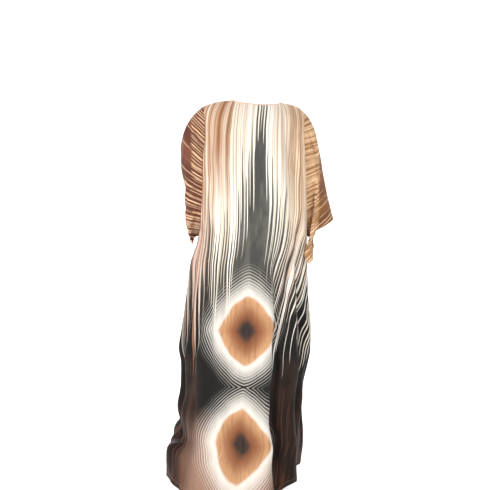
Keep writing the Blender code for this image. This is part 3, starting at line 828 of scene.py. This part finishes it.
THREAD = (0.55, 0.42, 0.33)

# Distances on the cloth, in metres
WEAVE_PITCH = 0.0011
STITCH_PITCH = 0.0038
STITCH_INSET = 0.0015  # of the stitches from the edge of the turned hem
STRAND_PITCH = 0.0092
FINE_PITCH = 0.0074
PRINT_SHIFT = 0.018  # of the print's middle to the right

# How far down (m) the pale strands reach, at each place across the panel
BACK_REACH = [
    (-0.45, 0.9), (-0.28, 0.88), (-0.2, 0.86), (-0.12, 0.74), (-0.075, 0.64), (-0.048, 0.52),
    (-0.03, 0.39), (-0.014, 0.27), (0.0, 0.22), (0.014, 0.27), (0.028, 0.4), (0.045, 0.55),
    (0.09, 0.72), (0.14, 0.82), (0.22, 0.88), (0.45, 0.92),
]
FRONT_REACH = [
    (-0.45, 0.88), (-0.28, 0.86), (-0.2, 0.82), (-0.12, 0.74), (-0.06, 0.62), (-0.036, 0.44),
    (-0.016, 0.24), (0.0, 0.14), (0.022, 0.26), (0.044, 0.5), (0.075, 0.66), (0.14, 0.78),
    (0.22, 0.86), (0.45, 0.9),
]


def cloth_finish(n, colour, s, t):
    """Weave, slubs, a stitched hem and a soft sheen, on a colour already made."""
    edge = n.attribute("edge")
    turns = 2 * math.pi / WEAVE_PITCH
    weave = n.math("SINE", s * turns) * n.math("SINE", t * turns)
    slub = n.noise(n.point(s * 9.0, t), 60.0, 3.0, 0.6)
    crinkle = n.noise(n.point(s * 3.2, t), 26.0, 4.0, 0.55)
    dash = n.between(n.math("SINE", s * (2 * math.pi / STITCH_PITCH)), -0.2, 0.3)
    stitch = n.bell(edge, HEM_DEPTH - STITCH_INSET, 0.0009) * dash
    fold = n.bell(edge, HEM_DEPTH, 0.0016)
    colour = n.mix(n.between(slub, 0.2, 0.85) * 0.10, colour, SLUB_SHADE)
    n.join(n.mix(stitch * 0.5, colour, THREAD), n.shader["Base Color"])
    n.join(0.50 + crinkle * 0.16, n.shader["Roughness"])
    height = weave * 0.05 + slub * 0.10 + crinkle * 1.1 + (stitch * 0.25 - fold * 0.35)
    bump = n.new("Bump", {"Strength": 0.55, "Distance": 0.0012, "Height": height})
    n.join(bump, n.shader["Normal"])
    n.shader["Sheen Weight"].default_value = 0.03
    n.shader["Sheen Roughness"].default_value = 0.50
    n.shader["Specular IOR Level"].default_value = 0.14
    return n.material


def lozenge(n, s, t, rows, shift, half_width, half_height, spacing):
    """How far out a point lies from the nearest soft lozenge of a row: 1 on its outline."""
    round_power = 1.4
    cell = n.math("FRACT", (s - shift) * (1 / spacing) + 0.5)
    x = (abs(cell - 0.5) * (spacing / half_width)) ** round_power
    nearest = None
    for row in rows:
        y = abs(t - row) * (1 / half_height)
        d = (x + y ** round_power) ** (1 / round_power)
        nearest = d if nearest is None else n.math("MINIMUM", nearest, d)
    return nearest


def strand_colour(n, s, t, s1, cell, fine_cell):
    """White in the middle, tan at the sides and rosy at the far left, with finer lines."""
    distance, _, r2, r3 = cell
    fine, f1, f2, _ = fine_cell
    side = n.between(abs(s1 + 0.010), 0.060, 0.190)
    tone = n.between(abs(s1), 0.018, 0.050) * (1 - n.between(t, 0.08, 0.42))
    tone = tone * 0.40 + side * (0.50 - n.between(t, 0.22, 0.70) * 0.36)
    tone = (tone + (r2 - 0.5) * (0.20 + side * 0.85)).clamped()
    colour = n.mix(tone, n.mix(r3, WHITE, CREAM), n.mix(r3 * 0.8, PEACH, TAN))
    rose = n.between(s * -1.0, 0.13, 0.22) * n.between(t, 0.30, 0.56)
    colour = n.mix(rose * 0.60, colour, ROSE)
    upper = 1 - n.between(t, 0.34, 0.66)
    colour = n.mix(n.between(s1, 0.075, 0.125) * upper * 0.40, colour, GOLD)
    colour = n.mix(n.between(s1 * -1.0, 0.16, 0.22) * 0.30, colour, MAUVE)
    # the pair of brown print stripes left of the middle, which also carry painted shade of the
    # shoulder folds, and a fainter brown band on the right that is painted shade of the soft
    # folds from the shoulder
    stripes_and_shade = (n.bell(s1, -0.148, 0.021) + n.bell(s1, -0.113, 0.016) * 0.95).clamped()
    stripes_and_shade = stripes_and_shade * (1 - n.between(t, 0.10, 0.40))
    # painted shade of the soft folds from the right shoulder
    shoulder_fold_shade = n.bell(s1, 0.122, 0.020) * (1 - n.between(t, 0.06, 0.40))
    stripes_and_shade = ((stripes_and_shade + shoulder_fold_shade * 0.55) * (0.65 + f2 * 0.75)).clamped()
    colour = n.mix(stripes_and_shade, colour, STRIPE_AND_FOLD_SHADE)
    line = (n.between(fine, 0.24, 0.42) * (0.24 + f1 * (0.56 + side * 0.40))).clamped()
    seam = n.between(distance, 0.28, 0.56) * (0.20 + r2 * 0.50)
    line = n.math("MAXIMUM", line, seam * (1 - n.between(t, 0.45, 0.8)))
    return n.mix(line, colour, n.mix(side, MIDDLE_LINE, SIDE_LINE))


def ground_colour(n, s, t, seed, f3):
    """The ground under the strands: charcoal with painted grey highlights, then black, brown
    streaks and a haze below.
    """
    cloud = n.noise(n.point(s * 5.0, t * 0.9, seed), 6.0, 4.0, 0.6)
    # painted highlight: lighter grey in clouds over the charcoal
    highlit_charcoal = n.mix(n.between(cloud, 0.42, 0.66), CHARCOAL, HIGHLIGHT_GREY)
    ground = n.mix(n.between(t, 0.48, 0.78), highlit_charcoal, DARK)
    wide = n.between(abs(s), 0.10, 0.22)
    ground = n.mix(wide * n.between(t, 0.92, 1.12), ground, UMBER)
    streak = n.between(cloud, 0.42, 0.60) * (wide * n.between(t, 0.96, 1.16))
    streak = streak * n.between(f3 + cloud * 0.4, 0.45, 0.85)
    ground = n.mix(streak * 0.80, ground, RUST)
    near = 1 - n.between(abs(s + 0.03), 0.10, 0.22)
    haze = (n.between(t, 1.05, 1.23) * near * (0.55 + cloud * 0.5)).clamped()
    ground = n.mix(haze, ground, HAZE)

    # small dim lozenges at the sides, and pale-ringed ones between them
    rough = (n.noise(n.point(s, t, seed), 18.0, 3.0) - 0.5) * 0.14
    small = lozenge(n, s, t, (0.985, 1.345), 0.22, 0.060, 0.095, 0.44) + rough
    ground = n.mix(n.between(small, 1.25, 0.70) * 0.14, ground, DIM)
    ground = n.mix(n.between(small, 0.42, 0.12) * 0.7, ground, UMBER)
    even = lozenge(n, s, t, (0.790, 1.180), 0.0, 0.100, 0.122, 0.88)
    large = even + rough
    glow = (n.between(large, 1.62, 1.02) * (0.62 + cloud * 0.5)).clamped()
    outlines = n.between(n.math("SINE", (even + rough * 0.25) * 74.0), -0.3, 0.9)
    net = n.between(large, 2.05, 1.25) * outlines
    ground = n.mix(n.math("MAXIMUM", glow, net * 0.70) * 0.95, ground, GLOW)
    fill = n.mix(n.between(large, 0.42, 1.00), INNER_BROWN, OUTER_TAN)
    fill = n.mix(n.between(large, 0.50, 0.16), fill, HEART)
    rays = n.noise(n.point(s * 34.0, t * 2.6, seed), 3.0, 2.0)
    fill = n.mix(n.between(rays, 0.42, 0.75) * 0.34, fill, RAY_BROWN)
    return n.mix(n.between(large, 1.05, 0.93), ground, fill)


def printed_cloth(name, reach, seed):
    """The body's print: pale strands over a dark ground, and soft lozenges below."""
    n = Nodes(name)
    s, t = n.uv()
    wobble = n.noise(n.point(s * 5.0, t * 1.6, seed), 3.0, 2.0)
    lean = n.between(s, 0.02, 0.10) * (n.between(t, 0.25, 0.95) * 0.030)
    s1 = s + lean + ((wobble - 0.5) * 0.006 - PRINT_SHIFT)

    # strands: wide cells with tapering ends, and finer lines inside them
    cell = n.strands(s1 * (1 / STRAND_PITCH) + 40.0 * seed)
    fine_cell = n.strands(s1 * (1 / FINE_PITCH) + 17.0 * seed, 0.75)
    distance, r1 = cell[:2]
    middle = 1 - n.between(abs(s1), 0.006, 0.050)
    clump = n.noise(n.point(s1, 0.0, seed), 26.0, 1.0)
    ends = n.curve(s1, reach) + (r1 - 0.55) * 0.26
    ends = ends + (clump - 0.5) * ((1 - middle) * 0.62)
    ends = n.math("MINIMUM", ends, 0.86 + r1 * 0.13)
    body = n.between(ends - t, 0.0, 0.60 - middle * 0.30, "LINEAR")
    half = body ** 0.60 * 0.52 + n.between(body, 0.40, 0.72) * (0.8 - middle * 0.76)
    strand = (1 - n.between(distance - half, -0.08, 0.04)) * n.between(body, 0.0, 0.05)

    ground = ground_colour(n, s, t, seed, fine_cell[3])
    colour = n.mix(strand, ground, strand_colour(n, s, t, s1, cell, fine_cell))
    return cloth_finish(n, colour, s, t)


def sleeve_cloth(name, seed, shade, light, inner, pitch, cover):
    """The sleeves' print: thin pale lines on brown, plainer towards the outside."""
    n = Nodes(name)
    s, t = n.uv()
    plain = n.attribute("plain")
    wobble = n.noise(n.point(s * 3.0, t * 3.0, seed), 3.0, 2.0)
    t1 = t + (wobble - 0.5) * 0.016
    distance, r1, r2, r3 = n.strands(t1 * (1 / pitch) + 31.0 * seed)
    band = n.noise(n.point(t1, 0.0, seed), 16.0, 1.0)
    base = n.mix(n.between(band, 0.35, 0.65), shade, light)
    base = n.mix(r3 * (0.36 - plain * 0.26), base, SLEEVE_DARK)
    base = n.mix((1 - plain) * 0.5, base, inner)
    line = 1 - n.between(distance - (cover + r1 * 0.30), -0.06, 0.08)
    line = line * (0.40 + r2 * 0.60)
    line = line * ((1 - plain) + plain * n.between(r1, 0.72, 0.86) * 0.8)
    broken = n.noise(n.point(s * 22.0, t * 70.0, seed), 1.0, 2.0)
    line = line * n.between(broken, 0.28, 0.52)
    return cloth_finish(n, n.mix(line, base, SLEEVE_LINE), s, t)


def binding_cloth():
    """Plain pale cloth for the edge of the neck."""
    n = Nodes("binding cloth, pale")
    s, t = n.uv()
    grain = n.noise(n.point(s * 40.0, t * 40.0), 6.0, 3.0)
    return cloth_finish(n, n.mix(grain, BINDING_PALE, BINDING_DEEP), s, t)


# ---- the robe
def joined_panels():
    """The back and the front, their places on the print, and the columns where the neck ends."""
    back, back_run = panel_grid(-1, BACK_FOLDS, BACK_CREASES)
    front, front_run = panel_grid(1, FRONT_FOLDS, FRONT_CREASES)
    neck = [int(round((u + 1) / 2 * COLUMNS)) for u in (-NECK_U, NECK_U)]
    for c in (0, -1):
        front[UNDERARM_ROW:, c] = back[UNDERARM_ROW:, c]
    for shoulder in (slice(neck[0] + 1), slice(neck[1], None)):
        front[0, shoulder] = back[0, shoulder]
    return back, front, (back_run, front_run), neck


def dressed_grid(grid, normal, seams):
    """Hems stand proud, and seams dip a little."""
    stand = HEM_STAND * (1 - ease((above_hem(grid) - HEM_DEPTH) / HEM_STEP))
    result = grid + normal * stand[:, :, None]
    for place in seams:
        result[place] = grid[place] - normal[place] * SEAM_SINK
    return result


def neck_strip(back, front, normals, neck):
    """The binding, a folded strip along the neck edge: its profile at each place of the ring."""
    ring = [(back, normals[0], c) for c in range(neck[0], neck[1] + 1)]
    ring += [(front, normals[1], c) for c in range(neck[1] - 1, neck[0], -1)]
    profile = [
        (-0.0012, 0.0009), (0.0005, 0.0013), (0.0040, 0.0015), (0.0070, 0.0012),
        (0.0084, 0.0000), (0.0070, -0.0012), (0.0040, -0.0015), (-0.0012, -0.0009),
    ]
    edge = np.array([panel[0, c] for panel, normal, c in ring])
    loops = []
    for k, (panel, normal, c) in enumerate(ring):
        along = edge[(k + 1) % len(edge)] - edge[k - 1]
        away = units(np.cross(normal[0, c], along))
        if np.dot(away, edge.mean(axis=0) - edge[k]) < 0:
            away = -away
        loops.append([edge[k] + away * rise + normal[0, c] * out for rise, out in profile])
    return np.array(loops)


def add_binding(strip, collection):
    count, size = strip.shape[:2]
    index = closed(np.arange(count * size).reshape(count, size))
    faces = quads_of(np.concatenate([index, index[:1]]))[:, [0, 3, 2, 1]]
    run = running(steps_between(strip[:, 0]))
    place = np.array([(run[k // size], BINDING_PITCH * (k % size)) for k in range(count * size)])
    layers = {"cloth": place, "edge": np.full(count * size, NO_HEM)}
    points = strip.reshape(-1, 3)
    cloth = binding_cloth()
    return add_piece("neck_binding", points, faces, layers, cloth, collection)


def build_robe():
    """All five pieces: back, front, left sleeve, right sleeve and binding."""
    collection = bpy.data.collections.new("Grand boubou robe, dressed")
    bpy.context.scene.collection.children.link(collection)
    back, front, runs, neck = joined_panels()
    holes = [armhole_loop(back, front, side) for side in (-1, 1)]
    left = sleeve_grid(holes[0], LEFT_SLEEVE, LEFT_SLEEVE_FOLDS, LEFT_SLEEVE_CREASES, -1)
    right = sleeve_grid(holes[1], RIGHT_SLEEVE, RIGHT_SLEEVE_FOLDS, RIGHT_SLEEVE_CREASES, 1)

    grids = [back, front, left, right]
    sides = (-1, 1, -1, 1)
    wraps = (False, False, True, True)
    normals = [outward_normals(*each) for each in zip(grids, wraps, sides)]
    sleeve_edge = [(0, c) for c in range(left.shape[1])]
    edges = [panel_edges(back), panel_edges(front), sleeve_edge, sleeve_edge]
    share_normals(zip(grids, normals, edges))
    for k, grid in enumerate(grids):
        sewn = [(r, c) for r, c in edges[k] if k > 1 or r > 0 or not neck[0] < c < neck[1]]
        seams = [(r, c) for r, c in sewn if r < len(grid) - 1]
        grids[k] = dressed_grid(grid, normals[k], seams)

    cloths = [
        printed_cloth("printed cloth, back", BACK_REACH, 1.0),
        printed_cloth("printed cloth, front", FRONT_REACH, 2.0),
        sleeve_cloth(
            "sleeve cloth, left", 1.0, shade=(0.095, 0.030, 0.018), light=(0.200, 0.072, 0.042),
            inner=(0.130, 0.044, 0.026), pitch=0.0100, cover=0.08,
        ),
        sleeve_cloth(
            "sleeve cloth, right", 2.0, shade=(0.160, 0.060, 0.019), light=(0.250, 0.104, 0.032),
            inner=(0.480, 0.245, 0.110), pitch=0.0085, cover=0.22,
        ),
    ]
    made = []
    for k, name in enumerate(("back", "front", "sleeve_left", "sleeve_right")):
        grid = grids[k]
        layers = {"edge": above_hem(grid)}
        if wraps[k]:
            run = np.cumsum(steps_between(closed(grid), 1), axis=1)
            layers["cloth"] = np.stack([run, sleeve_field(grid, sides[k])], axis=-1)
            layers["plain"] = sleeve_plain(grid, sides[k])
        else:
            layers["cloth"] = np.stack([runs[k], -grid[:, :, 2]], axis=-1)
        slot = "sleeve_cloth" if wraps[k] else "printed_cloth"
        piece = (name, grid, normals[k], wraps[k], layers, cloths[k], slot, collection)
        made.append(add_shell(*piece))
    made.append(add_binding(neck_strip(grids[0], grids[1], normals, neck), collection))
    return made


# ---- camera, light, floor
CAMERA_PLACE = (-0.041, -3.10, 0.10)
CAMERA_DOWN = 11.3  # degrees below level
CAMERA_LENS = 64.3
FLOOR_Z = -1.395
# how far back (m) and how high above the floor the backdrop passes
FLOOR_BENDS = [
    (-6.0, 0.0), (2.2, 0.0), (2.6, 0.03), (2.95, 0.14), (3.2, 0.35), (3.3, 0.7), (3.3, 5.0),
]


def add_camera(scene):
    lens = bpy.data.cameras.new("camera")
    lens.lens = CAMERA_LENS
    camera = bpy.data.objects.new("camera", lens)
    camera.location = CAMERA_PLACE
    camera.rotation_euler = (math.radians(90 - CAMERA_DOWN), 0, 0)
    scene.collection.objects.link(camera)
    scene.camera = camera


def add_floor(scene):
    """A plain white floor that bends up into a backdrop."""
    white = Nodes("studio white")
    speckle = white.noise(white.point(0.0, 0.0), 8.0, 2.0)
    paint = white.mix(speckle, (0.93, 0.93, 0.93), (0.95, 0.95, 0.95))
    white.join(paint, white.shader["Base Color"])
    white.shader["Roughness"].default_value = 0.9
    white.shader["Emission Color"].default_value = (1.0, 1.0, 1.0, 1.0)
    white.shader["Emission Strength"].default_value = 0.55
    points = [(x, y, FLOOR_Z + z) for y, z in FLOOR_BENDS for x in (-6.0, 6.0)]
    faces = [(2 * k, 2 * k + 1, 2 * k + 3, 2 * k + 2) for k in range(len(FLOOR_BENDS) - 1)]
    add_object("floor", points, faces, white.material, scene.collection)


def add_softbox(scene, name, place, aim, size, power, colour):
    light = bpy.data.lights.new(name, "AREA")
    light.shape = "SQUARE"
    light.size = size
    light.energy = power
    light.color = colour
    item = bpy.data.objects.new(name, light)
    item.location = place
    item.rotation_mode = "QUATERNION"
    item.rotation_quaternion = (Vector(aim) - Vector(place)).to_track_quat("-Z", "Y")
    scene.collection.objects.link(item)


def add_world(scene):
    """An even white surround: full white behind the robe, and dimmer as a light on it."""
    world = bpy.data.worlds.new("studio")
    world.use_nodes = True
    nodes, links = world.node_tree.nodes, world.node_tree.links
    sky = nodes["Background"]
    sky.inputs["Color"].default_value = (1.0, 1.0, 1.0, 1.0)
    seen = nodes.new("ShaderNodeLightPath").outputs["Is Camera Ray"]
    level = nodes.new("ShaderNodeMapRange")
    level.inputs["To Min"].default_value = 0.30
    level.inputs["To Max"].default_value = 1.0
    links.new(seen, level.inputs["Value"])
    links.new(level.outputs["Result"], sky.inputs["Strength"])
    scene.world = world


def studio():
    scene = bpy.context.scene
    add_camera(scene)
    add_floor(scene)
    add_softbox(scene, "key", (-2.9, -2.3, 2.0), (0, 0, -0.6), 1.3, 158, (1.0, 0.985, 0.955))
    add_softbox(scene, "fill", (2.2, -2.8, 1.3), (0, 0, -0.2), 2.0, 76, (1.0, 0.99, 0.97))
    add_softbox(scene, "rim", (0.6, 2.4, 2.0), (0, 0, -0.5), 1.8, 24, (1.0, 1.0, 1.0))
    add_world(scene)
    scene.view_settings.view_transform = "Standard"
    scene.view_settings.look = "None"


back, front, sleeve_left, sleeve_right, binding = build_robe()
studio()
